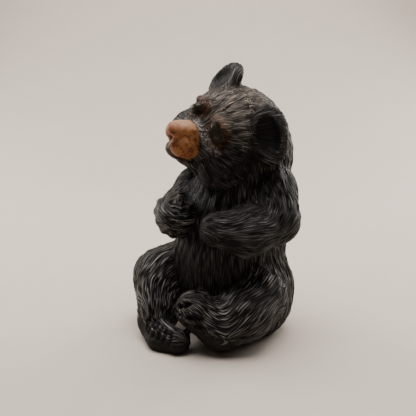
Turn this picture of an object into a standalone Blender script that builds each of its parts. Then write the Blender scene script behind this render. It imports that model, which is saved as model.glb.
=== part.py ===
"""Seated bear cub figurine, cast in ceramic in one piece.

The figure faces -Y, its left side is +X, and it sits on the plane z = 0. Its form is a set of
soft masses, as a modeller lays them on in clay: eggs, and limbs that taper from joint to joint.
Blender's voxel remesh joins the masses roughly, and the joined skin then settles on the smooth
form that the masses blend into, with locks of fur raised along each mass.
"""

import math

import bmesh
import bpy
import numpy as np
from mathutils import Euler, Matrix, Vector

# Driving dimensions, in metres
HEIGHT = 0.180  # from the table to the tip of the higher ear
TRIANGLES = 9400  # left on the finished solid

# The figure's proportions are counted in 180 parts of its height.
PART = HEIGHT / 180
SKIN_VOXEL = 2 * PART  # spacing of the rough skin

GLAZE = (0.035, 0.032, 0.030, 1.0)
GLAZE_ROUGHNESS = 0.42

SETTLE_STEPS = 8
PROBE = 0.05  # how far the form is probed for its slope, in parts

# Locks of fur: how far apart they lie, how high they stand, and how they waver, in parts
LOCK_SPACING = 8.5
LOCK_DEPTH = 0.55
LOCK_WAVER = 1.3
LOCK_WAVE = 26.0
MASS_BLEND = 4.0  # how far one mass's locks run on into the next

# Where the head sits, and how it is turned: degrees about X, Y and Z
HEAD_CENTRE = (-1, 14, 131)
HEAD_TURN = (-12, 33, -9)

# The ears' cups, in the head's own frame
EAR_CENTRE = (28.4, -1, 23.6)
EAR_RADII = (18.5, 6, 12)
EAR_TURN = (-8, 45, 20)
EAR_HOLLOW_RADII = (14.6, 9, 9)
EAR_HOLLOW_AHEAD = 9.5
EAR_STAGGER = 3  # how far the left ear sits forward and the right ear back

EYE_CENTRE = (11.3, -28.2, 9.4)
EYE_RADII = (6.3, 4.3, 3.5)
EYE_TURN = (0, 43, 18)
SOCKET_RADII = (7.8, 5.4, 4.8)
SOCKET_AHEAD = 4.6

# Moves the masses so that the finished box is centred on the origin
CENTRING = (0.7, -1.3, 0.4)


class Egg:
    """A turned ellipsoid, in parts of the height."""

    def __init__(self, centre, radii, turn=(0, 0, 0), furred=True):
        self.centre = np.array(centre, float)
        self.radii = np.array(radii, float)
        self.turn = np.array(Euler([math.radians(a) for a in turn]).to_matrix())
        self.furred = furred

    def distance(self, points):
        local = (points - self.centre) @ self.turn
        near = np.linalg.norm(local / self.radii, axis=1)
        slope = np.linalg.norm(local / self.radii**2, axis=1)
        return near * (near - 1) / np.maximum(slope, 1e-9)

    def ahead(self, distance, radii):
        """Another egg turned like this one, set out in front of it."""
        egg = Egg(self.centre + self.turn @ (0, -distance, 0), radii, furred=False)
        egg.turn = self.turn
        return egg

    def girth(self):
        return 2 * math.pi * self.radii.mean()

    def balls(self):
        """Matrices that place unit balls over this mass."""
        place = Matrix(self.turn.tolist()).to_4x4()
        place.translation = Vector(self.centre)
        return [place @ Matrix.Diagonal((*self.radii, 1))]


class Limb:
    """Balls on a path, (x, y, z, radius) each, with a taper between them."""

    BALLS_BETWEEN = 6
    BEND = 4  # fillet where two lengths meet

    def __init__(self, *joints, furred=True):
        self.joints = np.array(joints, float)
        self.furred = furred

    def lengths(self, points):
        """For each length of the limb: its distance, and the direction from its axis."""
        for start, end in zip(self.joints[:-1], self.joints[1:]):
            along = end[:3] - start[:3]
            share = np.clip((points - start[:3]) @ along / (along @ along), 0, 1)
            out = points - (start[:3] + share[:, None] * along)
            yield np.linalg.norm(out, axis=1) - (start[3] + share * (end[3] - start[3])), out, along

    def distance(self, points):
        found = None
        for tube, _, _ in self.lengths(points):
            found = tube if found is None else blend(found, tube, self.BEND)
        return found

    def girth(self):
        return 2 * math.pi * self.joints[:, 3].mean()

    def balls(self):
        placed = []
        for start, end in zip(self.joints[:-1], self.joints[1:]):
            for i in range(self.BALLS_BETWEEN + 1):
                x, y, z, radius = start + (end - start) * i / self.BALLS_BETWEEN
                placed.append(Matrix.Translation((x, y, z)) @ Matrix.Diagonal((radius, radius, radius, 1)))
        return placed


def blend(a, b, width):
    """Smooth union of two distances, with a fillet of about this width."""
    share = np.clip(0.5 + 0.5 * (b - a) / width, 0, 1)
    return b + (a - b) * share - width * share * (1 - share)


def carve(a, b, width):
    """Takes b out of a, with an edge of about this width."""
    return -blend(-a, b, width)


BODY = [
    # (mass, blend width), laid on in this order
    (Egg((0, 8, 46), (35, 33, 53)), 0),
    (Egg((6, 21, 62), (31, 29, 30)), 8),
    (Egg((3, 18, 84), (34, 31, 35)), 10),
    (Egg((7, 25, 118), (30.5, 28, 35)), 10),
    (Egg((-25, 14, 26), (23, 27, 31)), 8),
    (Egg((24, 16, 27), (23, 28, 32)), 8),
]

LIMBS = [
    # right leg, knee up, foot flat in front
    (Limb((-22, 0, 40, 20), (-34, -16.5, 32, 21), (-23, -32, 17, 15)), 5),
    (Limb((-21, -37, 8, 12), (-8, -44, 5.5, 9.5), (5, -42, 6, 8)), 4),
    # left leg, lying out to the side, foot turned sole inwards
    (Limb((30, 4, 30, 21), (33, -9, 24, 18), (23.5, -20.5, 15.5, 15.5), (11.5, -33.5, 27.5, 12)), 5),
    # right arm
    (Limb((-26, 9, 93, 15), (-35, 6, 78, 15), (-25, -14, 80, 13), (-15, -23, 80, 13)), 4),
    # left arm
    (Limb((31, 22, 99, 15), (38, 14, 81, 15.5), (33, -8, 77, 15), (20, -22, 79, 10.5)), 4),
]

HEAD = [
    # in the head's own frame: x to its left, y to its back, z up
    (Egg((0, 6, 1), (34, 35, 32)), 0),
    (Egg((1, -17.5, -6), (18.5, 20, 16.5)), 8),
    (Egg((0, -20, -17), (14, 17, 9)), 6),
    (Egg((0, -35, -1), (8, 15, 7), furred=False), 3),
    (Egg((-0.5, -35.5, -15.3), (7.5, 10, 5.5), furred=False), 2),
    (Egg((0, -49.5, 0), (5.4, 4.4, 4), furred=False), 1.5),
    (Egg((4.4, -40.5, -7.6), (7.8, 9.5, 7.6), furred=False), 2),
    (Egg((-3.6, -42, -3.8), (6.5, 8, 7), furred=False), 2),
]


def mirrored(centre, turn, side):
    """A place on the head's left, or its mirror image on the right."""
    x, y, z = centre
    about_x, about_y, about_z = turn
    return (side * x, y, z), (about_x, side * about_y, side * about_z)


def eggs_on_both_sides(centre, radii, turn=(0, 0, 0), furred=True):
    eggs = []
    for side in (-1, 1):
        place, turned = mirrored(centre, turn, side)
        eggs.append(Egg(place, radii, turned, furred))
    return eggs


HEAD += [(cheek, 6) for cheek in eggs_on_both_sides((18, -7, -13), (17, 20, 17))]
HEAD += [(brow, 4) for brow in eggs_on_both_sides((10.5, -25, 14.5), (7.5, 6, 4.5))]
EARS = eggs_on_both_sides(EAR_CENTRE, EAR_RADII, EAR_TURN)
for ear in EARS:
    ear.centre[1] -= math.copysign(EAR_STAGGER, ear.centre[0])
HEAD += [(ear, 3) for ear in EARS]
EAR_HOLLOWS = [ear.ahead(EAR_HOLLOW_AHEAD, EAR_HOLLOW_RADII) for ear in EARS]
EYES = eggs_on_both_sides(EYE_CENTRE, EYE_RADII, EYE_TURN, furred=False)
SOCKETS = [eye.ahead(SOCKET_AHEAD, SOCKET_RADII) for eye in EYES]

HEAD_MATRIX = np.array(Euler([math.radians(a) for a in HEAD_TURN]).to_matrix())


def in_head(points):
    return (points - HEAD_CENTRE) @ HEAD_MATRIX


def smooth_form(points):
    """Signed distance to the figure's skin without its fur, in parts, negative inside."""
    (trunk, _), *others = BODY + LIMBS
    found = trunk.distance(points)
    for mass, width in others:
        found = blend(found, mass.distance(points), width)
    local = in_head(points)
    (skull, _), *others = HEAD
    head = skull.distance(local)
    for mass, width in others:
        head = blend(head, mass.distance(local), width)
    for hollow in EAR_HOLLOWS:
        head = carve(head, hollow.distance(local), 2)
    for socket in SOCKETS:
        head = carve(head, socket.distance(local), 2)
    for eye in EYES:
        head = blend(head, eye.distance(local), 0.8)
    return blend(found, head, 5)


def ridges(across, along, girth):
    """Height of the locks at an angle round a mass and a distance along it."""
    count = max(3, round(girth / LOCK_SPACING))
    waver = LOCK_WAVER * np.sin(2 * math.pi * along / LOCK_WAVE)
    return np.cos(count * across + waver)


def locks(points):
    """Height of the fur's locks above the smooth form, in parts."""
    weight = np.full(len(points), 1e-9)
    height = np.zeros(len(points))

    def add(distance, across, along, girth, furred):
        nonlocal weight, height
        share = np.exp(-np.maximum(distance, -6) / MASS_BLEND * 2)
        weight += share
        if furred:
            height += share * ridges(across, along, girth)

    for mass, _ in BODY:
        out = points - mass.centre
        add(mass.distance(points), np.arctan2(out[:, 0], -out[:, 1]), out[:, 2], mass.girth(), mass.furred)
    for limb, _ in LIMBS:
        for tube, out, along in limb.lengths(points):
            ahead = along / np.linalg.norm(along)
            side = np.cross(ahead, (0, 0, 1) if abs(ahead[2]) < 0.8 else (0, 1, 0))
            across = np.arctan2(out @ np.cross(side, ahead), out @ side)
            add(tube, across, points @ ahead, limb.girth(), limb.furred)
    local = in_head(points)
    for mass, _ in HEAD:
        out = local - mass.centre
        across = np.arctan2(local[:, 0], local[:, 2])
        add(mass.distance(local), across, out[:, 1], mass.girth(), mass.furred)
    bare = np.ones(len(points))
    for mass in EYES + EAR_HOLLOWS:
        bare *= np.clip(mass.distance(local) / 3, 0, 1)
    bare *= np.clip((points[:, 2] - 1) / 4, 0, 1)
    return LOCK_DEPTH * bare * height / weight


def form(points):
    """Signed distance to the figure's furred skin."""
    moved = points - CENTRING
    return smooth_form(moved) - locks(moved)


def form_and_slope(points):
    here = form(points)
    slope = np.empty_like(points)
    for axis in range(3):
        step = np.zeros(3)
        step[axis] = PROBE
        slope[:, axis] = (form(points + step) - form(points - step)) / (2 * PROBE)
    return here, slope


def rough_skin(voxel):
    """One closed mesh round all the masses, in metres."""
    head = Matrix(HEAD_MATRIX.tolist()).to_4x4()
    head.translation = Vector(HEAD_CENTRE)
    placed = [ball for mass, _ in BODY + LIMBS for ball in mass.balls()]
    placed += [head @ ball for mass, _ in HEAD for ball in mass.balls()]
    place = Matrix.Scale(PART, 4) @ Matrix.Translation(CENTRING)
    mesh = bmesh.new()
    for ball in placed:
        bmesh.ops.create_icosphere(mesh, subdivisions=3, radius=1, matrix=place @ ball)
    data = bpy.data.meshes.new("bear_cub")
    mesh.to_mesh(data)
    mesh.free()
    figure = bpy.data.objects.new("bear_cub", data)
    bpy.context.scene.collection.objects.link(figure)
    join_skin(figure, voxel)
    return figure


def join_skin(figure, voxel):
    remesh = figure.modifiers.new("Join", "REMESH")
    remesh.mode = "VOXEL"
    remesh.voxel_size = voxel
    apply_modifiers(figure)


def apply_modifiers(figure):
    graph = bpy.context.evaluated_depsgraph_get()
    finished = bpy.data.meshes.new_from_object(figure.evaluated_get(graph))
    old = figure.data
    figure.modifiers.clear()
    figure.data = finished
    bpy.data.meshes.remove(old)


def points_of(figure):
    flat = np.empty(len(figure.data.vertices) * 3, np.float32)
    figure.data.vertices.foreach_get("co", flat)
    return flat.reshape(-1, 3).astype(float)


def place_points(figure, points):
    figure.data.vertices.foreach_set("co", points.astype(np.float32).ravel())
    figure.data.update()


def settle(figure):
    """Moves every point of the skin on to the form."""
    points = points_of(figure) / PART
    for _ in range(SETTLE_STEPS):
        here, slope = form_and_slope(points)
        steep = np.maximum((slope**2).sum(axis=1), 0.3)
        points -= np.clip(here / steep, -2, 2)[:, None] * slope
    place_points(figure, points * PART)


def thin_out(figure, triangles):
    """Leaves the given number of triangles, most of them where the skin curves most."""
    figure.data.calc_loop_triangles()
    decimate = figure.modifiers.new("Thin out", "DECIMATE")
    decimate.ratio = triangles / len(figure.data.loop_triangles)
    apply_modifiers(figure)


def level_base(figure):
    """Cuts the underside flat on the plane z = 0."""
    bench_data = bpy.data.meshes.new("bench")
    mesh = bmesh.new()
    bmesh.ops.create_cube(mesh, size=4 * HEIGHT, matrix=Matrix.Translation((0, 0, -2 * HEIGHT)))
    mesh.to_mesh(bench_data)
    mesh.free()
    bench = bpy.data.objects.new("bench", bench_data)
    bpy.context.scene.collection.objects.link(bench)
    cut = figure.modifiers.new("Level base", "BOOLEAN")
    cut.operation = "DIFFERENCE"
    cut.solver = "EXACT"
    cut.object = bench
    apply_modifiers(figure)
    bpy.data.objects.remove(bench)


def centre(figure):
    """Puts the middle of the box on the Z axis, and the higher ear's tip at the full height."""
    points = points_of(figure)
    low = points.min(axis=0)
    high = points.max(axis=0)
    points[:, :2] -= (low[:2] + high[:2]) / 2
    points[:, 2] *= HEIGHT / high[2]
    place_points(figure, points)


def glaze():
    material = bpy.data.materials.new("dark_glaze")
    material.use_nodes = True
    shader = material.node_tree.nodes["Principled BSDF"]
    shader.inputs["Base Color"].default_value = GLAZE
    shader.inputs["Roughness"].default_value = GLAZE_ROUGHNESS
    return material


def main():
    for old in list(bpy.data.objects):
        bpy.data.objects.remove(old)
    figure = rough_skin(SKIN_VOXEL)
    settle(figure)
    join_skin(figure, SKIN_VOXEL)
    settle(figure)
    thin_out(figure, TRIANGLES)
    level_base(figure)
    centre(figure)
    figure.data.materials.clear()
    figure.data.materials.append(glaze())
    collection = bpy.data.collections.new("Bear cub figurine")
    bpy.context.scene.collection.children.link(collection)
    bpy.context.scene.collection.objects.unlink(figure)
    collection.objects.link(figure)


if __name__ == "__main__":
    main()
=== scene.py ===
"""Looks of the seated bear cub figurine: carved fur, face, glaze and a studio."""
import math

import bmesh
import bpy
import numpy as np
from bpy.props import FloatProperty, FloatVectorProperty, IntProperty, PointerProperty
from mathutils import Euler, Matrix, Vector


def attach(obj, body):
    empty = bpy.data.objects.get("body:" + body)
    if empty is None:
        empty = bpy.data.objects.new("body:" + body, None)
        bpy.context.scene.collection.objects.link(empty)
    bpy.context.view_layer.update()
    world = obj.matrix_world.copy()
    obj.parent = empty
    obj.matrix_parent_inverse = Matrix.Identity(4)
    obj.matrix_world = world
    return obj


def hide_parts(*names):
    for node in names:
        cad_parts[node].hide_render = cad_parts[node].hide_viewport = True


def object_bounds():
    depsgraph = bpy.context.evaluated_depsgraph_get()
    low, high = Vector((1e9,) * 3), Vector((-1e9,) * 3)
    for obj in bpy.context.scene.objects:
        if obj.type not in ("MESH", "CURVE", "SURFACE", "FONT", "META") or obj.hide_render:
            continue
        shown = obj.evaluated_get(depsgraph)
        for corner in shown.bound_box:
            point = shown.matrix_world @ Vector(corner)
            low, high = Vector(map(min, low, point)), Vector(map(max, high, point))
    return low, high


bl_info = {
    "name": "Bear cub figurine",
    "version": (1, 0, 0),
    "blender": (4, 5, 0),
    "location": "3D View > Sidebar > Bear cub",
    "description": "Carved fur and worn dark glaze on a seated ceramic bear cub",
    "category": "Object",
}

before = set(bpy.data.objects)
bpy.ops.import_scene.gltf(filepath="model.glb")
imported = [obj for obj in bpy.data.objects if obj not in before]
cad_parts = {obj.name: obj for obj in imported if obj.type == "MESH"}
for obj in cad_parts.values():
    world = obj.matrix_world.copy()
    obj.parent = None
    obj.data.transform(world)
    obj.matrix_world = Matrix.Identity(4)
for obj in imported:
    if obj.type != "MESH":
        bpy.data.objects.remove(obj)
CAD_BOX = [list(corner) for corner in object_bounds()]
NODE = "bear_cub"

# The figure's proportions are counted in 180 parts of its height.
PART = (CAD_BOX[1][2] - CAD_BOX[0][2]) / 180

# The finished figure is the masses shifted over the origin and drawn up to the full height.
CENTRING = (0.9, -0.3, 0.4)
RISE = 1.011

HEAD_CENTRE = (-1, 14, 131)
HEAD_TURN = (-12, 33, -9)

EAR_CENTRE = (28.4, -1, 23.6)
EAR_RADII = (18.5, 6, 12)
EAR_TURN = (-8, 45, 20)
EAR_HOLLOW_RADII = (14.6, 9, 9)
EAR_HOLLOW_AHEAD = 9.5
EAR_STAGGER = 3  # how far the left ear sits forward and the right ear back

EYE_CENTRE = (11.3, -28.2, 9.4)
EYE_RADII = (6.3, 4.3, 3.5)
EYE_TURN = (0, 43, 18)
SOCKET_RADII = (7.8, 5.4, 4.8)
SOCKET_AHEAD = 4.6

# Fillets between masses
NECK_BLEND = 5
CARVED_EDGE = 2
EYE_SEAT = 0.4

# Locks, the larger relief of the fur
LOCK_SPACING = 8.5
LOCK_DEPTH = 0.55
LOCK_WAVER = 1.3
LOCK_WAVE = 26.0
MASS_BLEND = 4.0  # how far the locks of one mass run into the next
INNERMOST = -6  # a mass counts no more than this deep inside it
BARE_EDGE = 3  # how wide the locks fade out round the eyes and the ears' hollows
FOOT_OF_LOCKS = 1  # height over the table at which the locks start
FOOT_FADE = 4

# Strokes, the fine relief of the fur
STROKE_WIDTH = 2.7
STROKE_LENGTH = 24.0
STROKE_SEED = 4
STROKE_SPREAD = 0.7  # how unlike each other the strokes are, from 0 to 1
CHART_GAP = 7.3  # how far apart in the pattern two charts of fur lie
SWAY = 1.4  # how far the strokes bend aside
SWAY_RATE = (0.12, 0.10)  # how fast the bends follow one another, across and along the fur
SWAY_SCALE = 0.7
STAGGER = 3.5  # in strokes' lengths
STAGGER_RATE = 0.03
STAGGER_SCALE = 0.8
HAIR_RATE = (2.3, 1.2, 1.0)  # hairs in one stroke, across and along
GROOVE_DEPTH = 0.00032  # metres
FINE = 0.50  # size of the finest strokes against the carved ones
FINE_SEED = 10.0  # sets the finest strokes apart from the carved ones
LENGTH_BLEND = 5.0  # how far the direction of one length of a limb runs into the next
TRUNK_AXIS = (3, 16)  # x and y of the upright line that the trunk's strokes lie round
TRUNK_RADIUS = 36
HEAD_FINENESS = 1.35
HEAD_RINGS = 2.2  # rings of equal strokes round the head, for each e-fold of its width
INNER_RING = 4
RAGGED = 1.2  # how far the borders between two directions stray
PAW_START = 14  # how far forward the right arm's strokes turn round its paw
PAW_SLANT = 0.35

# Fitting the skin
SETTLE_ROUNDS = 5
SETTLE_STEP = 1.2  # furthest that a point moves in one round
PATH_ROUNDS = 6
PATH_STEP = 0.6
PATH_REACH = 30  # a path's marks lie this near its middle
FAR_OFF = 99.0
PROBE = 0.05

# How much less than elsewhere the ridges show bare clay, and how much more on the nape: in front and on
# the left arm as painted shade, on the lower head as a plain darkening, on the nape as a painted
# highlight
FRONT_PAINTED_SHADE = 0.8
LEFT_ARM_PAINTED_SHADE = 0.55
CHEEK_DARKENING = 0.45
NAPE_PAINTED_HIGHLIGHT = 3

# Edges of the muzzle's tan, from the head's middle
TAN_BACK = 37.7  # how far ahead the tan begins
LIP_DROP = 14  # how far below it ends
LIP_FRONT = 44  # ahead of this, its lower edge rises
PAINT_WAVER = 0.7

# Shine of the finishes
CLAY_ROUGHNESS = 0.62
UNGLAZED_ROUGHNESS = 0.85
SOLE_ROUGHNESS = 0.65
EYE_POLISH = 0.6  # the eyes' roughness against the glaze round them
GRAIN_ROUGHNESS = 0.2
GLAZE_SHINE = 0.14  # specular level of the dark glaze
CLAY_SHINE = 0.5
BUMP_STRENGTH = 0.8
BUMP_DEPTH = 0.0007  # metres

# Studio
FLOOR_BENDS = 24
LAMP_COLOUR = (1.0, 0.955, 0.91)
SKY_COLOUR = (1.0, 0.93, 0.87, 1.0)
AIM = (0.0009, -0.0003, 0.0862)
AIM_ASIDE = 0.0053  # how far left of that the camera looks
LAMPS = (
    # name, beside, behind and above the figure, behind and above that it aims, power setting, size
    ("top", 0.0, 0.10, 0.85, 0.0, 0.1, "light_power", 0.8),
    ("left", -0.65, 0.35, 0.35, 0.0, 0.1, "rim_power", 0.4),
    ("right", 0.60, 0.45, 0.35, 0.0, 0.1, "rim_power", 0.4),
    ("backdrop", 0.0, 0.15, 1.0, 0.85, 0.25, "backdrop_power", 0.9),
)


# Form

def smooth_step(value, low, high):
    share = np.clip((value - low) / (high - low), 0, 1)
    return share * share * (3 - 2 * share)


def blend(a, b, width):
    """Smooth union of two distances, with a fillet of about this width."""
    share = np.clip(0.5 + 0.5 * (b - a) / width, 0, 1)
    return b + (a - b) * share - width * share * (1 - share)


def carve(a, b, width):
    """Takes b out of a, with an edge rounded over about this width."""
    return -blend(-a, b, width)


class Egg:
    """A turned ellipsoid, in parts of the height."""

    def __init__(self, centre, radii, turn=(0, 0, 0), furred=True):
        self.centre = np.array(centre, float)
        self.radii = np.array(radii, float)
        self.turn = np.array(Euler([math.radians(a) for a in turn]).to_matrix())
        self.furred = furred

    def distance(self, points):
        local = (points - self.centre) @ self.turn
        near = np.linalg.norm(local / self.radii, axis=1)
        slope = np.linalg.norm(local / self.radii**2, axis=1)
        return near * (near - 1) / np.maximum(slope, 1e-9)

    def ahead(self, distance, radii):
        """Another egg turned like this one, set out in front of it."""
        egg = Egg(self.centre + self.turn @ (0, -distance, 0), radii, furred=False)
        egg.turn = self.turn
        return egg

    def girth(self):
        return 2 * math.pi * self.radii.mean()


class Limb:
    """Balls on a path, (x, y, z, radius) each, with a taper between them."""

    BEND = 4  # fillet where two lengths meet
    furred = True

    def __init__(self, *joints, chart, outer):
        self.joints = np.array(joints, float)
        self.chart = chart
        self.outer = np.array(outer, float)

    def lengths(self, points):
        """For each length: distance, the direction from its axis, its run and the way gone."""
        gone = 0.0
        for start, end in zip(self.joints[:-1], self.joints[1:]):
            along = end[:3] - start[:3]
            way = math.sqrt(along @ along)
            run = (points - start[:3]) @ along / (along @ along)
            share = np.clip(run, 0, 1)
            out = points - (start[:3] + share[:, None] * along)
            tube = np.linalg.norm(out, axis=1) - (start[3] + share * (end[3] - start[3]))
            yield tube, out, along, gone + run * way
            gone += way

    def distance(self, points):
        found = None
        for tube, _, _, _ in self.lengths(points):
            found = tube if found is None else blend(found, tube, self.BEND)
        return found

    def radius(self):
        return self.joints[:, 3].mean()

    def girth(self):
        return 2 * math.pi * self.radius()


def on_both_sides(centre, radii, turn=(0, 0, 0), furred=True):
    x, y, z = centre
    about_x, about_y, about_z = turn
    return [
        Egg((side * x, y, z), radii, (about_x, side * about_y, side * about_z), furred)
        for side in (-1, 1)
    ]


# Where each piece of fur grows: the strokes of one never run on into another.
TRUNK_FUR, HEAD_FUR, RIGHT_LEG_FUR, LEFT_LEG_FUR, RIGHT_ARM_FUR, LEFT_ARM_FUR = range(6)

# The masses below are laid on in order, each with the width of its fillet.
BODY = [
    (Egg((0, 8, 46), (35, 33, 53)), 0),
    (Egg((6, 21, 62), (31, 29, 30)), 8),
    (Egg((3, 18, 84), (34, 31, 35)), 10),
    (Egg((7, 25, 118), (30.5, 28, 35)), 10),
    (Egg((-25, 14, 26), (23, 27, 31)), 8),
    (Egg((24, 16, 27), (23, 28, 32)), 8),
]

RIGHT_LEG = Limb(
    (-22, 0, 40, 20), (-34, -16.5, 32, 21), (-23, -32, 17, 15),
    chart=RIGHT_LEG_FUR, outer=(-1, -1, 0.3))
RIGHT_FOOT = Limb(
    (-21, -37, 8, 12), (-8, -44, 5.5, 9.5), (5, -42, 6, 8),
    chart=RIGHT_LEG_FUR, outer=(-0.5, -1, 1))
LEFT_LEG = Limb(
    (30, 4, 30, 21), (33, -9, 24, 18), (23.5, -20.5, 15.5, 15.5), (11.5, -33.5, 27.5, 12),
    chart=LEFT_LEG_FUR, outer=(0.6, -1, -0.6))
RIGHT_ARM = Limb(
    (-26, 9, 93, 15), (-35, 6, 78, 15), (-25, -14, 80, 13), (-15, -23, 80, 13),
    chart=RIGHT_ARM_FUR, outer=(-1, -0.6, 0.1))
LEFT_ARM = Limb(
    (31, 22, 99, 15), (38, 14, 81, 15.5), (33, -8, 77, 15), (20, -22, 79, 10.5),
    chart=LEFT_ARM_FUR, outer=(1, -0.6, -0.1))
LIMBS = [(RIGHT_LEG, 5), (RIGHT_FOOT, 4), (LEFT_LEG, 5), (RIGHT_ARM, 4), (LEFT_ARM, 4)]

# In the head's own frame: x to its left, y to its back, z up
BRIDGE = Egg((0, -35, -1), (8, 15, 7), furred=False)
CHIN = Egg((-0.5, -35.5, -15.3), (7.5, 10, 5.5), furred=False)
NOSE = Egg((0, -49.5, 0), (5.4, 4.4, 4), furred=False)
WHISKER_PADS = [
    Egg((4.4, -40.5, -7.6), (7.8, 9.5, 7.6), furred=False),
    Egg((-3.6, -42, -3.8), (6.5, 8, 7), furred=False),
]
MUZZLE = [BRIDGE, CHIN, NOSE] + WHISKER_PADS
EARS = on_both_sides(EAR_CENTRE, EAR_RADII, EAR_TURN)
for ear in EARS:
    ear.centre[1] -= math.copysign(EAR_STAGGER, ear.centre[0])
EAR_HOLLOWS = [ear.ahead(EAR_HOLLOW_AHEAD, EAR_HOLLOW_RADII) for ear in EARS]
EYES = on_both_sides(EYE_CENTRE, EYE_RADII, EYE_TURN, furred=False)
SOCKETS = [eye.ahead(SOCKET_AHEAD, SOCKET_RADII) for eye in EYES]
HEAD = [
    (Egg((0, 6, 1), (34, 35, 32)), 0),
    (Egg((1, -17.5, -6), (18.5, 20, 16.5)), 8),
    (Egg((0, -20, -17), (14, 17, 9)), 6),
    (BRIDGE, 3),
    (CHIN, 2),
    (NOSE, 1.5),
]
HEAD += [(cheek, 6) for cheek in on_both_sides((18, -7, -13), (17, 20, 17))]
HEAD += [(pad, 2) for pad in WHISKER_PADS]
HEAD += [(brow, 4) for brow in on_both_sides((10.5, -25, 14.5), (7.5, 6, 4.5))]
HEAD += [(ear, 3) for ear in EARS]

BODY_MASSES = [mass for mass, _ in BODY]
HEAD_MASSES = [mass for mass, _ in HEAD]

# Grooves pressed into the skin: (corners of the way, half width, depth)
CLEFT = ([(0.5, -53, -3.5), (0.8, -50, -6), (0.8, -49, -10)], 1.5, 1.5)
MOUTH = (
    [(-9, -36, -8), (-6, -46, -9), (0.8, -49, -10), (3.1, -49.4, -12), (4.5, -43.6, -15.4),
     (6.7, -36.1, -17.0), (11, -32, -15.5)],
    1.3, 1.3)
NOSTRILS = [([(side * 4.6, -52.5, 0), (side * 2.4, -54, -1.4)], 1.2, 1.3) for side in (-1, 1)]
FACE_GROOVES = [CLEFT, MOUTH] + NOSTRILS
TOE_PITCH = 4.2
TOE_DROP = 0.7
RIGHT_TOE_GAPS = [
    ([(-17 + TOE_PITCH * i, -47, 18 - TOE_DROP * i),
      (-15.5 + TOE_PITCH * i, -52, 10.5 - TOE_DROP * i)], 1.7, 2.2)
    for i in range(6)
]
LEFT_TOE_GAPS = [
    ([(5, -43, 31), (10.6, -44.5, 32.8), (16, -41.2, 35.5)], 2.3, 2.8),
    ([(4, -43, 27.5), (10.6, -45.4, 26.6), (18.6, -43.2, 27.1), (23.3, -39.2, 25.8)], 2.3, 2.8),
    ([(8, -44, 22), (14, -44, 21), (22, -41, 21), (28, -37, 20)], 1.8, 1.8),
]
FOOT_GROOVES = RIGHT_TOE_GAPS + LEFT_TOE_GAPS
PALE_STREAK = [(-4, -33, 6.5), (2.1, -34.3, 6.2), (7.9, -33.1, 4), (14.3, -30.5, 0.2), (19.1, -26.2, -1)]

HEAD_MATRIX = np.array(Euler([math.radians(a) for a in HEAD_TURN]).to_matrix())


def in_form(points):
    """From the finished figure to the masses' own coordinates."""
    return points / (1, 1, RISE) - CENTRING


def in_head(points):
    return (points - HEAD_CENTRE) @ HEAD_MATRIX


def nearest(masses, points):
    """Distance to the nearest of some masses, with no fillets."""
    return np.min([mass.distance(points) for mass in masses], axis=0)


def joined(masses, points):
    """Distance to masses laid on in order, each with its fillet."""
    (first, _), *others = masses
    found = first.distance(points)
    for mass, width in others:
        found = blend(found, mass.distance(points), width)
    return found


def smooth_form(points):
    """Signed distance to the figure's skin without its fur, in parts, negative inside."""
    local = in_head(points)
    head = joined(HEAD, local)
    for cut in EAR_HOLLOWS + SOCKETS:
        head = carve(head, cut.distance(local), CARVED_EDGE)
    for eye in EYES:
        head = blend(head, eye.distance(local), EYE_SEAT)
    return blend(joined(BODY + LIMBS, points), head, NECK_BLEND)


def ridges(across, along, girth):
    """Height of the locks at an angle round a mass and a distance along it."""
    count = max(3, round(girth / LOCK_SPACING))
    waver = LOCK_WAVER * np.sin(2 * math.pi * along / LOCK_WAVE)
    return np.cos(count * across + waver)


def around(out, along):
    """Angle round a run, from the direction that leaves its axis."""
    ahead = along / np.linalg.norm(along)
    side = np.cross(ahead, (0, 0, 1) if abs(ahead[2]) < 0.8 else (0, 1, 0))
    return np.arctan2(out @ np.cross(side, ahead), out @ side)


def locks(points):
    """Height of the fur's locks above the smooth form, in parts."""
    weight = np.full(len(points), 1e-9)
    height = np.zeros(len(points))

    def add(distance, across, along, mass):
        nonlocal weight, height
        share = np.exp(-np.maximum(distance, INNERMOST) / MASS_BLEND * 2)
        weight += share
        if mass.furred:
            height += share * ridges(across, along, mass.girth())

    for mass in BODY_MASSES:
        out = points - mass.centre
        add(mass.distance(points), np.arctan2(out[:, 0], -out[:, 1]), out[:, 2], mass)
    for limb, _ in LIMBS:
        for tube, out, along, _ in limb.lengths(points):
            add(tube, around(out, along), points @ (along / np.linalg.norm(along)), limb)
    local = in_head(points)
    for mass in HEAD_MASSES:
        out = local - mass.centre
        add(mass.distance(local), np.arctan2(local[:, 0], local[:, 2]), out[:, 1], mass)
    bare = np.ones(len(points))
    for mass in EYES + EAR_HOLLOWS:
        bare *= np.clip(mass.distance(local) / BARE_EDGE, 0, 1)
    bare *= np.clip((points[:, 2] - FOOT_OF_LOCKS) / FOOT_FADE, 0, 1)
    return LOCK_DEPTH * bare * height / weight


def skin(points):
    """Signed distance to the finished skin, cut flat on the table."""
    moved = in_form(points)
    return np.maximum(smooth_form(moved) - locks(moved), -points[:, 2])


# Mesh helpers

def points_of(mesh):
    flat = np.empty(len(mesh.vertices) * 3, np.float32)
    mesh.vertices.foreach_get("co", flat)
    return flat.reshape(-1, 3).astype(float)


def normals_of(mesh):
    flat = np.empty(len(mesh.vertices) * 3, np.float32)
    mesh.vertex_normals.foreach_get("vector", flat)
    return flat.reshape(-1, 3).astype(float)


def place_points(mesh, points):
    mesh.vertices.foreach_set("co", points.astype(np.float32).ravel())
    mesh.update()


def store(mesh, name, values):
    """Keeps a number or a vector for each point, for the nodes to read."""
    kind, field = ("FLOAT_VECTOR", "vector") if values.ndim == 2 else ("FLOAT", "value")
    attribute = mesh.attributes.new(name, kind, "POINT")
    attribute.data.foreach_set(field, values.astype(np.float32).ravel())


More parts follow.
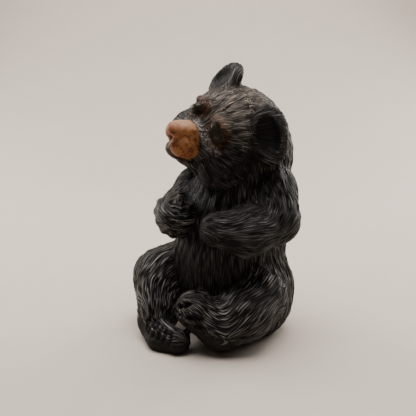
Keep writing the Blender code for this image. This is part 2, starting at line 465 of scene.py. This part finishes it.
def keep_result(piece):
    """Turns the piece and its modifiers into a plain mesh."""
    graph = bpy.context.evaluated_depsgraph_get()
    finished = bpy.data.meshes.new_from_object(piece.evaluated_get(graph))
    old = piece.data
    piece.modifiers.clear()
    piece.data = finished
    bpy.data.meshes.remove(old)


def add_piece(name, mesh):
    piece = bpy.data.objects.new(name, mesh)
    bpy.context.scene.collection.objects.link(piece)
    return piece


def remesh(piece, spacing):
    join = piece.modifiers.new("Skin", "REMESH")
    join.mode = "VOXEL"
    join.voxel_size = spacing
    keep_result(piece)


def settle(mesh):
    """Moves every point along its normal on to the finished skin."""
    for _ in range(SETTLE_ROUNDS):
        points = points_of(mesh) / PART
        here = np.clip(skin(points), -SETTLE_STEP, SETTLE_STEP)
        points -= here[:, None] * normals_of(mesh)
        place_points(mesh, points * PART)


def laid_path(corners, on_head):
    """Points close together on the skin, along a path given by its corners."""
    corners = np.array(corners, float)
    gone = np.append(0, np.cumsum(np.linalg.norm(np.diff(corners, axis=0), axis=1)))
    stops = np.linspace(0, gone[-1], math.ceil(gone[-1] / PATH_STEP) + 1)
    path = np.stack([np.interp(stops, gone, corners[:, axis]) for axis in range(3)], 1)
    if on_head:
        path = path @ HEAD_MATRIX.T + HEAD_CENTRE
    for _ in range(PATH_ROUNDS):
        here = smooth_form(path)
        slope = np.stack([smooth_form(path + step) - here for step in np.eye(3) * PROBE], 1)
        path -= here[:, None] * slope / np.linalg.norm(slope, axis=1)[:, None]
    return path


def gap_to(points, path):
    """How far each point is from a path, or far off."""
    gap = np.full(len(points), FAR_OFF)
    near = np.linalg.norm(points - path.mean(axis=0), axis=1) < PATH_REACH
    gap[near] = np.linalg.norm(points[near][:, None] - path[None], axis=2).min(axis=1)
    return gap


def grooves(points):
    """Depth of the pressed grooves at each point, and their share of full depth."""
    moved = in_form(points)
    depth = np.zeros(len(points))
    share = np.zeros(len(points))
    for lines, on_head in ((FACE_GROOVES, True), (FOOT_GROOVES, False)):
        for corners, half_width, full in lines:
            pressed = smooth_step(gap_to(moved, laid_path(corners, on_head)), half_width, 0)
            share = np.maximum(share, pressed)
            depth = np.maximum(depth, full * pressed)
    return depth, share


# Fur direction

def turn_about(out, along, outer):
    """Angle round a length of limb, from its outer side."""
    ahead = along / np.linalg.norm(along)
    side = outer - (outer @ ahead) * ahead
    side /= np.linalg.norm(side)
    return np.arctan2(out @ np.cross(ahead, side), out @ side)


def head_fur(local, ragged):
    """Distances across and along the head's strokes, which run back from the nose in rings."""
    width = np.maximum(np.hypot(local[:, 0], local[:, 2]), INNER_RING)
    ring = np.exp(np.round(np.log(width) * HEAD_RINGS + ragged * 0.18) / HEAD_RINGS)
    across = np.arctan2(local[:, 0], local[:, 2]) * (HEAD_FINENESS * ring)
    return across, local[:, 1] * HEAD_FINENESS


def limb_fur(limb, moved):
    """Distance to a limb's bare tubes, and distances across and along its strokes."""
    lengths = list(limb.lengths(moved))
    tubes = np.array([tube for tube, _, _, _ in lengths])
    shares = np.exp((tubes.min(axis=0) - tubes) / LENGTH_BLEND)
    shares /= shares.sum(axis=0)
    turns = np.array([turn_about(out, along, limb.outer) for _, out, along, _ in lengths])
    across = (shares * turns).sum(axis=0) * limb.radius()
    gone = sum(share * way for share, (_, _, _, way) in zip(shares, lengths))
    return tubes.min(axis=0), across, gone


def fur_map(points):
    """For each point: distance across the fur, along it, and which fur grows there."""
    moved = in_form(points)
    local = in_head(moved)
    x, y, z = moved.T
    best = np.full(len(points), np.inf)
    found = np.zeros((len(points), 3))
    ragged = RAGGED * np.sin(x * 1.9 + 3 * np.sin(z * 1.3)) * np.sin(y * 2.3 + z)

    def offer(distance, across, along, chart):
        nonlocal best
        nearer = distance < best
        best = np.where(nearer, distance, best)
        found[nearer] = np.stack([across, along, np.full(len(across), float(chart))], 1)[nearer]

    centre_x, centre_y = TRUNK_AXIS
    turn = np.arctan2(x - centre_x, centre_y - y)
    offer(nearest(BODY_MASSES, moved), turn * TRUNK_RADIUS, -z, TRUNK_FUR)
    offer(nearest(HEAD_MASSES, local) + 0.4 * ragged, *head_fur(local, ragged), HEAD_FUR)
    for limb, _ in LIMBS:
        distance, across, along = limb_fur(limb, moved)
        if limb is RIGHT_ARM:
            paw = ragged - y > PAW_START
            across = np.where(paw, z + PAW_SLANT * x, across)
            along = np.where(paw, x - PAW_SLANT * z, along)
        offer(distance + 0.5 * ragged, across, along, limb.chart)
    return found


# Finishes: each smooth_step fades one in from its second number to its third, in parts

def wavering(local):
    """How far the edge of a painted patch strays at each point."""
    return PAINT_WAVER * np.sin(local[:, 0] * 0.9) * np.sin(local[:, 2] * 1.1 + 1)


def face_masks(moved, local):
    """Where the colours of the face lie, and where fur grows between them."""
    beside, behind, above = local.T
    ahead = -behind
    muzzle = nearest(MUZZLE, local)
    eye = nearest(EYES, local)
    back_of_tan = TAN_BACK - 0.25 * np.abs(beside) + 0.3 * np.minimum(above, 0)
    lip = np.maximum(ahead - LIP_FRONT, 0) - LIP_DROP
    tan = smooth_step(ahead + wavering(local) - back_of_tan, -0.7, 0.7) * smooth_step(muzzle, 3, 1.5)
    tan *= smooth_step(above + 0.45 * beside - lip, -0.8, 0.4)
    fur = 1 - smooth_step(muzzle, 1.5, 0.5) * smooth_step(ahead, 31, 34)
    fur *= 1 - smooth_step(eye, 1.6, 0.8)
    colours = {
        "tan": tan,
        "nose": smooth_step(NOSE.distance(local), 0.9, 0.1) * smooth_step(ahead, 47, 49),
        "chin": smooth_step(ahead, 35, 38) * smooth_step(muzzle, 4, 2) * (1 - tan),
        "eye": smooth_step(eye, 0.35, 0.1),
        "rust": 0.8 * smooth_step(eye, 7, 2) * smooth_step(behind, -33, -29),
        "streak": smooth_step(gap_to(moved, laid_path(PALE_STREAK, True)), 3.8, 1.2),
    }
    return colours, fur


def sole_mask(moved, local):
    """The smooth undersides of both feet."""
    x, y, z = moved.T
    right = (
        smooth_step(RIGHT_FOOT.distance(moved), 2, 1)
        * smooth_step(z + 0.2 * (x + 8), 12, 10.5)
        * smooth_step(y, -38, -42))
    left = (
        smooth_step(LEFT_LEG.distance(moved), 2, 1)
        * smooth_step(z + 0.6 * (x - 21.7) + wavering(local), 18.7, 17.3)
        * smooth_step(y, -16, -22))
    return np.maximum(right, left)


def wear_and_painted_light_mask(moved, local, normals, trunk):
    """How bare the fur's ridges are: real wear, with painted shade in front and on the left arm, a darker
    lower head and a painted highlight on the nape; most on the nape, least in front.
    """
    _, y, z = moved.T
    # Painted shade: the trunk's skin that faces forward and down shows less bare clay on its ridges.
    front = smooth_step(normals @ (0.1, -0.9, -0.3), 0.1, 0.8) * smooth_step(trunk, 5, 2)
    # Painted shade: the left arm shows less bare clay on its ridges.
    left_arm = smooth_step(LEFT_ARM.distance(moved), 3, 1)
    # The lower head shows less bare clay on its ridges, so it is darker there.
    cheek = smooth_step(trunk, 1, 4) * smooth_step(local[:, 2], 12, -2) * smooth_step(z, 85, 95)
    # Painted highlight: the nape shows much more bare clay on its ridges.
    nape = smooth_step(trunk, 3, 1) * smooth_step(z, 92, 115) * smooth_step(y, 14, 34)
    bare_clay_and_painted_light = (1 - FRONT_PAINTED_SHADE * front) * (1 - LEFT_ARM_PAINTED_SHADE * left_arm)
    return bare_clay_and_painted_light * (1 - CHEEK_DARKENING * cheek) + NAPE_PAINTED_HIGHLIGHT * nape


def masks(points, normals):
    """Named shares, from 0 to 1 but for the wear with its painted light, of where each finish and each
    painted light lies.
    """
    moved = in_form(points)
    local = in_head(moved)
    _, behind, above = local.T
    trunk = nearest(BODY_MASSES, moved)
    hollow = smooth_step(nearest(EAR_HOLLOWS, local), 1.2, -0.2)
    sole = sole_mask(moved, local)
    underside = smooth_step(-normals[:, 2], 0.85, 0.97) * smooth_step(points[:, 2], 1.0, 0.3)
    # Top of the head: browner clay, also lighter there as a painted highlight.
    crown = smooth_step(above, 4, 26) * smooth_step(behind, 30, 0)
    crown *= smooth_step(trunk, 1, 6) * smooth_step(nearest(EARS, local), 0, 4)
    face, face_fur = face_masks(moved, local)
    furred = face_fur * (1 - underside) * (1 - sole) * (1 - 0.6 * hollow)
    return {
        **face,
        "hollow": hollow,
        "sole": sole,
        "underside": underside,
        "crown": crown,
        "worn": wear_and_painted_light_mask(moved, local, normals, trunk),
        # Upward-facing skin: a paler tan, partly a painted highlight.
        "pale_top": smooth_step(normals[:, 2], 0.1, 0.8),
        "furred": furred,
    }


# Node helpers

class Tree:
    """Adds nodes to a tree and links them in one go."""

    SPACING = 180  # from one node to the next in the editor

    def __init__(self, tree):
        self.tree = tree
        self.column = 0

    def add(self, kind, *inputs, **settings):
        node = self.tree.nodes.new(kind)
        node.location = (self.column * self.SPACING, 0)
        self.column += 1
        for name, value in settings.items():
            setattr(node, name, value)
        for socket, value in inputs:
            self.feed(node.inputs[socket], value)
        return node

    def feed(self, socket, value):
        if isinstance(value, bpy.types.NodeSocket):
            self.tree.links.new(value, socket)
        elif isinstance(value, bpy.types.Node):
            self.tree.links.new(value.outputs[0], socket)
        else:
            socket.default_value = value

    def math(self, operation, *values):
        return self.add("ShaderNodeMath", *enumerate(values), operation=operation).outputs[0]

    def product(self, first, *others):
        for other in others:
            first = self.math("MULTIPLY", first, other)
        return first

    def steps(self, value, low, high, out_low=0.0, out_high=1.0, smooth=True):
        """Runs from out_low to out_high while the value goes from low to high."""
        node = self.add(
            "ShaderNodeMapRange",
            ("Value", value),
            ("From Min", low),
            ("From Max", high),
            ("To Min", out_low),
            ("To Max", out_high),
            interpolation_type="SMOOTHSTEP" if smooth else "LINEAR",
        )
        return node.outputs[0]

    def vector(self, x, y, z):
        return self.add("ShaderNodeCombineXYZ", ("X", x), ("Y", y), ("Z", z))

    def split(self, vector):
        return self.add("ShaderNodeSeparateXYZ", ("Vector", vector)).outputs

    def noise(self, place, scale, detail, roughness=0.5):
        node = self.add(
            "ShaderNodeTexNoise",
            ("Vector", place),
            ("Scale", scale),
            ("Detail", detail),
            ("Roughness", roughness),
        )
        return node.outputs[0]

    def cells(self, place, feature):
        return self.add(
            "ShaderNodeTexVoronoi",
            ("Vector", place),
            ("Scale", 1.0),
            ("Randomness", STROKE_SPREAD),
            feature=feature,
            voronoi_dimensions="2D",
        ).outputs

    def attribute(self, name):
        return self.add("ShaderNodeAttribute", attribute_name=name).outputs

    def mix(self, share, a, b):
        node = self.add("ShaderNodeMix", data_type="RGBA")
        colour_a, colour_b = node.inputs[6], node.inputs[7]
        self.feed(node.inputs[0], share)
        self.feed(colour_a, a)
        self.feed(colour_b, b)
        return node.outputs[2]

    def tint(self, base, share, colour, most=1.0):
        """Lays a plain colour over a base, by a share times the most that it covers."""
        if most < 1.0:
            share = self.math("MULTIPLY", share, most)
        return self.mix(share, base, (*colour, 1.0))


def stroke_cells(tree, fur, width, length, seed):
    """The strokes of the fur as long cells, alike in the relief and the glaze.

    Gives how far each place is from a groove, a value for each stroke, and the place in its cell.
    """
    across, along, chart = tree.split(fur)
    level = tree.math("MULTIPLY_ADD", chart, CHART_GAP, seed)
    # Strokes that lie side by side bend together.
    rate_across, rate_along = SWAY_RATE
    place = tree.vector(
        tree.math("MULTIPLY", across, rate_across), tree.math("MULTIPLY", along, rate_along), chart)
    sway = tree.math("SUBTRACT", tree.noise(place, SWAY_SCALE, 1.0), 0.5)
    across = tree.math("DIVIDE", tree.math("MULTIPLY_ADD", sway, SWAY, across), width)
    # Neighbours start at different places, so that their ends make no rows.
    rows = tree.vector(across, tree.math("MULTIPLY", along, STAGGER_RATE), level)
    stagger = tree.noise(rows, STAGGER_SCALE, 1.0)
    along = tree.math("MULTIPLY_ADD", stagger, STAGGER, tree.math("DIVIDE", along, length))
    cell = tree.vector(across, along, level)
    edge = tree.cells(cell, "DISTANCE_TO_EDGE")["Distance"]
    shade = tree.split(tree.cells(cell, "F1")["Color"])[0]
    return edge, shade, cell


def relief_tree():
    """Carves the strokes of the fur into a skin along its normals."""
    made = bpy.data.node_groups.new("Fur strokes", "GeometryNodeTree")
    sockets = (
        ("Skin", "NodeSocketGeometry", None),
        ("Stroke width", "NodeSocketFloat", STROKE_WIDTH),
        ("Stroke length", "NodeSocketFloat", STROKE_LENGTH),
        ("Groove depth", "NodeSocketFloat", GROOVE_DEPTH),
        ("Seed", "NodeSocketFloat", STROKE_SEED),
        ("Glaze", "NodeSocketMaterial", None),
    )
    for name, kind, default in sockets:
        socket = made.interface.new_socket(name, in_out="INPUT", socket_type=kind)
        if default is not None:
            socket.default_value = default
    made.interface.new_socket("Skin", in_out="OUTPUT", socket_type="NodeSocketGeometry")
    tree = Tree(made)
    start = tree.add("NodeGroupInput").outputs
    fur = tree.add("GeometryNodeInputNamedAttribute", ("Name", "fur"), data_type="FLOAT_VECTOR")
    furred = tree.add("GeometryNodeInputNamedAttribute", ("Name", "furred"), data_type="FLOAT")
    edge, shade, _ = stroke_cells(
        tree, fur.outputs[0], start["Stroke width"], start["Stroke length"], start["Seed"])
    groove = tree.steps(edge, 0.05, 0.40, out_low=-1.0, out_high=0.35)
    height = tree.math("MULTIPLY_ADD", tree.math("SUBTRACT", shade, 0.5), 0.5, groove)
    depth = tree.math("MULTIPLY", start["Groove depth"], furred.outputs[0])
    offset = tree.add(
        "ShaderNodeVectorMath",
        ("Vector", tree.add("GeometryNodeInputNormal")),
        ("Scale", tree.math("MULTIPLY", height, depth)),
        operation="SCALE",
    )
    carved = tree.add("GeometryNodeSetPosition", ("Geometry", start["Skin"]), ("Offset", offset))
    real = tree.add("GeometryNodeRealizeInstances", ("Geometry", carved))
    glazed = tree.add("GeometryNodeSetMaterial", ("Geometry", real), ("Material", start["Glaze"]))
    tree.add("NodeGroupOutput", ("Skin", glazed))
    return made


MASK_NAMES = (
    "tan", "nose", "chin", "eye", "rust", "streak", "hollow", "groove", "sole", "underside",
    "crown", "worn", "pale_top", "furred",
)


def handled_wear(tree, place):
    """Pinholes, dull patches and grain of a glaze that has been handled."""
    fine = tree.noise(place, 900.0, 3.0)
    broad = tree.noise(place, 55.0, 4.0, roughness=0.6)
    return tree.steps(fine, 0.72, 0.80), tree.steps(broad, 0.35, 0.65), fine


def bare_ridges_and_painted_light(tree, mask, broad, edge, shade, hair, patches):
    """How bare the ridges of the strokes are, where the distance to a groove is large, with the painted
    shade and painted highlight of the wear mask in it.
    """
    ridge = tree.steps(tree.math("MULTIPLY_ADD", hair, 0.20, edge), 0.26, 0.44)
    return tree.product(
        ridge,
        tree.steps(broad, 0.02, 0.30, out_low=0.60),
        tree.steps(shade, 0.0, 0.9, out_low=0.42),
        tree.steps(patches, 0.0, 1.0, out_low=0.55),
        mask["worn"],
        mask["furred"],
        tree.math("SUBTRACT", 1.0, mask["hollow"]),
        tree.math("SUBTRACT", 1.0, mask["groove"]),
    )


def coat_colour(tree, settings, mask, bare_clay_and_painted_light):
    """Dark glaze with the clay showing on its ridges, browner on the crown and by the eyes; the crown's
    ridges are also lighter, as a painted highlight.
    """
    # The crown's ridges: browner clay, lighter too as a painted highlight.
    clay = tree.tint((*settings.ridge_colour, 1.0), mask["crown"], settings.crown_and_highlight_colour)
    clay = tree.tint(clay, mask["rust"], settings.rust_colour)
    glaze = tree.tint((*settings.glaze_colour, 1.0), mask["rust"], settings.rust_colour, most=0.12)
    glaze = tree.tint(glaze, mask["crown"], settings.crown_and_highlight_colour, most=0.10)
    return tree.mix(bare_clay_and_painted_light, glaze, clay)


def muzzle_colour(tree, settings, mask, place):
    """Blotched tan, paler on its upward-facing side, partly a paler tan and partly a painted highlight,
    with a pinkish nose.
    """
    blotches = tree.steps(tree.noise(place, 340.0, 5.0, roughness=0.7), 0.42, 0.60)
    muzzle = tree.tint((*settings.muzzle_colour, 1.0), blotches, settings.mottle_colour)
    # Paler on top: partly a paler tan, partly a painted highlight.
    muzzle = tree.tint(muzzle, mask["pale_top"], settings.pale_and_highlight_colour, most=0.48)
    return tree.tint(muzzle, mask["nose"], settings.nose_colour, most=0.7)


def bear_glaze(settings):
    """Dark glaze rubbed off the fur's ridges, with painted shade in front and painted highlights on the
    nape, crown and muzzle top, a tan muzzle, olive eyes and an unglazed underside.
    """
    material = bpy.data.materials.new("bear_glaze")
    material.use_nodes = True
    shader = material.node_tree.nodes["Principled BSDF"].inputs
    tree = Tree(material.node_tree)
    place = tree.add("ShaderNodeTexCoord").outputs["Object"]
    mask = {name: tree.attribute(name)["Fac"] for name in MASK_NAMES}
    fur = tree.attribute("fur")["Vector"]
    width, length, seed = settings.stroke_width, settings.stroke_length, settings.seed
    broad, _, _ = stroke_cells(tree, fur, width, length, float(seed))
    edge, shade, cell = stroke_cells(tree, fur, width * FINE, length * FINE, seed + FINE_SEED)
    drawn_out = tree.add("ShaderNodeVectorMath", (0, cell), (1, HAIR_RATE), operation="MULTIPLY")
    hair = tree.noise(drawn_out, 1.0, 3.0, roughness=0.65)
    specks, patches, grain = handled_wear(tree, place)
    # The ridges' bare clay holds real wear together with painted shade in front and on the left arm and a
    # painted highlight on the nape.
    bare_clay_and_painted_light = bare_ridges_and_painted_light(tree, mask, broad, edge, shade, hair, patches)
    dots = tree.steps(tree.noise(place, 800.0, 2.0), 0.46, 0.58, out_low=0.12, out_high=0.8)

    colour = coat_colour(tree, settings, mask, bare_clay_and_painted_light)
    colour = tree.tint(colour, mask["chin"], settings.chin_colour, most=0.75)
    colour = tree.tint(colour, tree.product(mask["streak"], dots), settings.streak_colour)
    colour = tree.mix(mask["tan"], colour, muzzle_colour(tree, settings, mask, place))
    for share, paint, most in (
        (mask["sole"], settings.sole_colour, 1.0),
        (mask["groove"], settings.glaze_colour, 0.8),
        (mask["eye"], settings.eye_colour, 1.0),
        (specks, settings.speck_colour, 0.25),
        (mask["underside"], settings.underside_colour, 1.0),
    ):
        colour = tree.tint(colour, share, paint, most)
    tree.feed(shader["Base Color"], colour)

    rough = tree.steps(bare_clay_and_painted_light, 0.0, 1.0, settings.gloss, CLAY_ROUGHNESS, smooth=False)
    rough = tree.math("MULTIPLY_ADD", tree.math("SUBTRACT", grain, 0.5), GRAIN_ROUGHNESS, rough)
    rough = tree.product(rough, tree.steps(mask["eye"], 0.0, 1.0, 1.0, EYE_POLISH))
    underside = tree.math("MULTIPLY", mask["underside"], UNGLAZED_ROUGHNESS)
    sole = tree.math("MULTIPLY", mask["sole"], SOLE_ROUGHNESS)
    dull = tree.math("MAXIMUM", underside, sole)
    tree.feed(shader["Roughness"], tree.math("MAXIMUM", rough, dull))
    tree.feed(shader["Specular IOR Level"], tree.steps(bare_clay_and_painted_light, 0.0, 0.8, GLAZE_SHINE, CLAY_SHINE))

    fine_strokes = tree.steps(edge, 0.0, 0.3, 0.0, 0.7)
    strokes = tree.math("MULTIPLY_ADD", tree.steps(broad, 0.0, 0.4), 0.6, fine_strokes)
    height = tree.product(tree.math("MULTIPLY_ADD", hair, 0.5, strokes), mask["furred"])
    height = tree.math("MULTIPLY_ADD", grain, 0.10, height)
    bump = tree.add(
        "ShaderNodeBump", ("Height", height), ("Strength", BUMP_STRENGTH), ("Distance", BUMP_DEPTH))
    tree.feed(shader["Normal"], bump)
    return material


def pale_floor(settings):
    material = bpy.data.materials.new("pale_floor")
    material.use_nodes = True
    shader = material.node_tree.nodes["Principled BSDF"].inputs
    tree = Tree(material.node_tree)
    place = tree.add("ShaderNodeTexCoord").outputs["Object"]
    shade = (*settings.floor_shade_colour, 1.0)
    tree.feed(shader["Base Color"], tree.tint(shade, tree.noise(place, 40.0, 4.0), settings.floor_colour))
    shader["Roughness"].default_value = 0.9
    return material


# Settings

def colour_setting(name, value, description):
    return FloatVectorProperty(
        name=name, description=description, subtype="COLOR", size=3, min=0, max=1, default=value)


class FigureSettings(bpy.types.PropertyGroup):
    skin_spacing: FloatProperty(
        name="Skin spacing", description="Distance between the skin's points, in parts of the height",
        default=0.97, min=0.5, max=3, unit="NONE")
    stroke_width: FloatProperty(
        name="Stroke width", description="Width of one stroke of fur, in parts of the height",
        default=STROKE_WIDTH, min=0.5, max=8)
    stroke_length: FloatProperty(
        name="Stroke length", description="Length of one stroke of fur, in parts of the height",
        default=STROKE_LENGTH, min=2, max=60)
    groove_depth: FloatProperty(
        name="Groove depth", description="Depth of the grooves between the strokes",
        default=GROOVE_DEPTH, min=0, max=0.003, unit="LENGTH", precision=4)
    seed: IntProperty(
        name="Seed", description="Which of many alike patterns of strokes is carved",
        default=STROKE_SEED, min=0)
    gloss: FloatProperty(
        name="Glaze roughness", description="Roughness of the dark glaze in the grooves",
        default=0.45, min=0, max=1)
    glaze_colour: colour_setting("Glaze", (0.0032, 0.0029, 0.0028), "Dark glaze in the grooves")
    ridge_colour: colour_setting("Ridges", (0.250, 0.232, 0.218), "Clay where the glaze is rubbed off")
    # Crown: browner clay, made lighter as a painted highlight on top of the head.
    crown_and_highlight_colour: colour_setting("Crown", (0.38, 0.305, 0.25), "Browner ridges on top of the head")
    rust_colour: colour_setting("Rust", (0.30, 0.120, 0.045), "Red-brown round the eyes")
    muzzle_colour: colour_setting("Muzzle", (0.27, 0.108, 0.036), "Tan of the muzzle")
    # Muzzle top: paler tan, partly a painted highlight.
    pale_and_highlight_colour: colour_setting("Muzzle top", (0.46, 0.29, 0.185), "Paler tan on top of the muzzle")
    mottle_colour: colour_setting("Mottle", (0.115, 0.036, 0.014), "Brown blotches on the muzzle")
    nose_colour: colour_setting("Nose", (0.27, 0.105, 0.055), "Pinkish brown of the nose")
    chin_colour: colour_setting("Chin", (0.050, 0.035, 0.027), "Grey-brown of the chin")
    streak_colour: colour_setting("Streak", (0.30, 0.255, 0.245), "Pale wear between muzzle and eye")
    sole_colour: colour_setting("Soles", (0.008, 0.007, 0.006), "Smooth dark soles")
    eye_colour: colour_setting("Eyes", (0.020, 0.018, 0.011), "Olive-dark eyes")
    speck_colour: colour_setting("Specks", (0.45, 0.43, 0.40), "Pinholes in the glaze")
    underside_colour: colour_setting("Underside", (0.30, 0.27, 0.24), "Unglazed clay underneath")


class StageSettings(bpy.types.PropertyGroup):
    floor_size: FloatProperty(
        name="Floor size", description="Width of the floor", default=6.0, min=0.5, unit="LENGTH")
    floor_reach: FloatProperty(
        name="Floor reach", description="From the figure back to where the floor starts to rise",
        default=0.35, min=0.2, unit="LENGTH")
    floor_bend: FloatProperty(
        name="Floor bend", description="Radius of the curve between the floor and the backdrop",
        default=0.5, min=0.05, unit="LENGTH")
    floor_colour: colour_setting("Floor", (0.58, 0.515, 0.455), "Pale floor and backdrop")
    floor_shade_colour: colour_setting("Floor shade", (0.54, 0.475, 0.415), "Darker clouds in the floor")
    light_power: FloatProperty(
        name="Light", description="Strength of the soft light overhead", default=11.0, min=0)
    rim_power: FloatProperty(
        name="Rim light", description="Strength of each light behind the figure", default=4.5, min=0)
    backdrop_power: FloatProperty(
        name="Backdrop light", description="Strength of the light on the backdrop", default=8.2, min=0)
    sky: FloatProperty(
        name="Sky", description="Strength of the even light from all round", default=0.07, min=0)
    camera_turn: FloatProperty(
        name="Camera turn", description="Where the camera stands round the figure",
        default=math.radians(42), subtype="ANGLE")
    camera_rise: FloatProperty(
        name="Camera rise", description="How far the camera looks down",
        default=math.radians(15), subtype="ANGLE")
    camera_distance: FloatProperty(
        name="Camera distance", description="From the camera to the figure's middle",
        default=0.384, min=0.1, unit="LENGTH")


# Operators

class BEAR_OT_figure(bpy.types.Operator):
    """Makes the fine skin, carves the fur and glazes it"""
    bl_idname = "bear.figure"
    bl_label = "Bear cub"

    def execute(self, context):
        settings = context.scene.bear_figure
        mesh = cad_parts[NODE].data.copy()
        mesh.materials.clear()
        work = bmesh.new()
        work.from_mesh(mesh)
        bmesh.ops.remove_doubles(work, verts=work.verts, dist=1e-6)
        work.to_mesh(mesh)
        work.free()
        cub = add_piece("bear_cub_skin", mesh)
        remesh(cub, settings.skin_spacing * PART * (1))
        settle(cub.data)
        self.press_and_map(cub.data)
        self.carve_fur(cub, settings)
        cub.data.shade_smooth()
        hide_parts(NODE)
        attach(cub, "root")
        return {"FINISHED"}

    def press_and_map(self, mesh):
        """Presses the grooves of the face and feet, and marks where fur and finishes lie."""
        points = points_of(mesh) / PART
        depth, share = grooves(points)
        place_points(mesh, (points - depth[:, None] * normals_of(mesh)) * PART)
        store(mesh, "groove", share)
        store(mesh, "fur", fur_map(points))
        for name, values in masks(points, normals_of(mesh)).items():
            store(mesh, name, values)

    def carve_fur(self, cub, settings):
        strokes = cub.modifiers.new("Fur strokes", "NODES")
        strokes.node_group = relief_tree()
        values = {
            "Stroke width": settings.stroke_width,
            "Stroke length": settings.stroke_length,
            "Groove depth": settings.groove_depth,
            "Seed": float(settings.seed),
            "Glaze": bear_glaze(settings),
        }
        for item in strokes.node_group.interface.items_tree:
            if item.name in values:
                strokes[item.identifier] = values[item.name]
        keep_result(cub)


class BEAR_OT_stage(bpy.types.Operator):
    """Sets the pale floor, the soft lights and the camera"""
    bl_idname = "bear.stage"
    bl_label = "Stage"

    def execute(self, context):
        settings = context.scene.bear_stage
        add_piece("floor", self.swept_floor(settings))
        world = bpy.data.worlds.new("studio")
        world.use_nodes = True
        background = world.node_tree.nodes["Background"].inputs
        background["Color"].default_value = SKY_COLOUR
        background["Strength"].default_value = settings.sky
        context.scene.world = world
        turn = settings.camera_turn
        right = Vector((math.cos(turn), math.sin(turn), 0))
        away = Vector((-math.sin(turn), math.cos(turn), 0))
        for name, beside, behind, above, aim_behind, aim_above, power, size in LAMPS:
            place = beside * right + behind * away + Vector((0, 0, above))
            aim = aim_behind * away + Vector((0, 0, aim_above))
            self.light(name, place, aim, getattr(settings, power), size)
        self.camera(context, settings, right, away)
        return {"FINISHED"}

    def swept_floor(self, settings):
        """A floor that curves up into a backdrop, square to the camera."""
        half = settings.floor_size / 2
        rows = [(-half, 0.0)]
        for i in range(FLOOR_BENDS + 1):
            bend = math.pi / 2 * i / FLOOR_BENDS
            back = settings.floor_reach + settings.floor_bend * math.sin(bend)
            rows.append((back, settings.floor_bend * (1 - math.cos(bend))))
        rows.append((rows[-1][0], half))
        turned = Matrix.Rotation(settings.camera_turn, 3, "Z")
        work = bmesh.new()
        edges = [
            [work.verts.new(turned @ Vector((side * half, back, height))) for side in (-1, 1)]
            for back, height in rows
        ]
        for (a, b), (c, d) in zip(edges, edges[1:]):
            work.faces.new((a, b, d, c)).smooth = True
        mesh = bpy.data.meshes.new("floor")
        work.to_mesh(mesh)
        work.free()
        mesh.materials.append(pale_floor(settings))
        return mesh

    def light(self, name, place, aim, power, size):
        lamp = bpy.data.lights.new(name, "AREA")
        lamp.energy = power
        lamp.size = size
        lamp.color = LAMP_COLOUR
        holder = bpy.data.objects.new(name, lamp)
        holder.location = place
        holder.rotation_euler = (aim - place).to_track_quat("-Z", "Y").to_euler()
        bpy.context.scene.collection.objects.link(holder)

    def camera(self, context, settings, right, away):
        rise = settings.camera_rise
        back = Vector((0, 0, math.sin(rise))) - math.cos(rise) * away
        lens = bpy.data.cameras.new("camera")
        lens.lens = 50
        lens.sensor_width = 36
        lens.clip_start = 0.01
        holder = bpy.data.objects.new("camera", lens)
        holder.matrix_world = Matrix((right, back.cross(right), back)).transposed().to_4x4()
        middle = Vector(AIM) - AIM_ASIDE * right
        holder.matrix_world.translation = middle + settings.camera_distance * back
        context.scene.collection.objects.link(holder)
        context.scene.camera = holder


class BEAR_PT_panel(bpy.types.Panel):
    bl_idname = "BEAR_PT_panel"
    bl_label = "Bear cub"
    bl_space_type = "VIEW_3D"
    bl_region_type = "UI"
    bl_category = "Bear cub"

    def draw(self, context):
        scene = context.scene
        for settings, operator in (
            (scene.bear_figure, BEAR_OT_figure),
            (scene.bear_stage, BEAR_OT_stage),
        ):
            box = self.layout.box()
            for name in settings.__annotations__:
                box.prop(settings, name)
            box.operator(operator.bl_idname)


CLASSES = (FigureSettings, StageSettings, BEAR_OT_figure, BEAR_OT_stage, BEAR_PT_panel)


def register():
    for item in CLASSES:
        bpy.utils.register_class(item)
    bpy.types.Scene.bear_figure = PointerProperty(type=FigureSettings)
    bpy.types.Scene.bear_stage = PointerProperty(type=StageSettings)


def unregister():
    del bpy.types.Scene.bear_stage
    del bpy.types.Scene.bear_figure
    for item in reversed(CLASSES):
        bpy.utils.unregister_class(item)


def main():
    register()
    bpy.ops.bear.figure()
    bpy.ops.bear.stage()


if __name__ == "__main__":
    main()
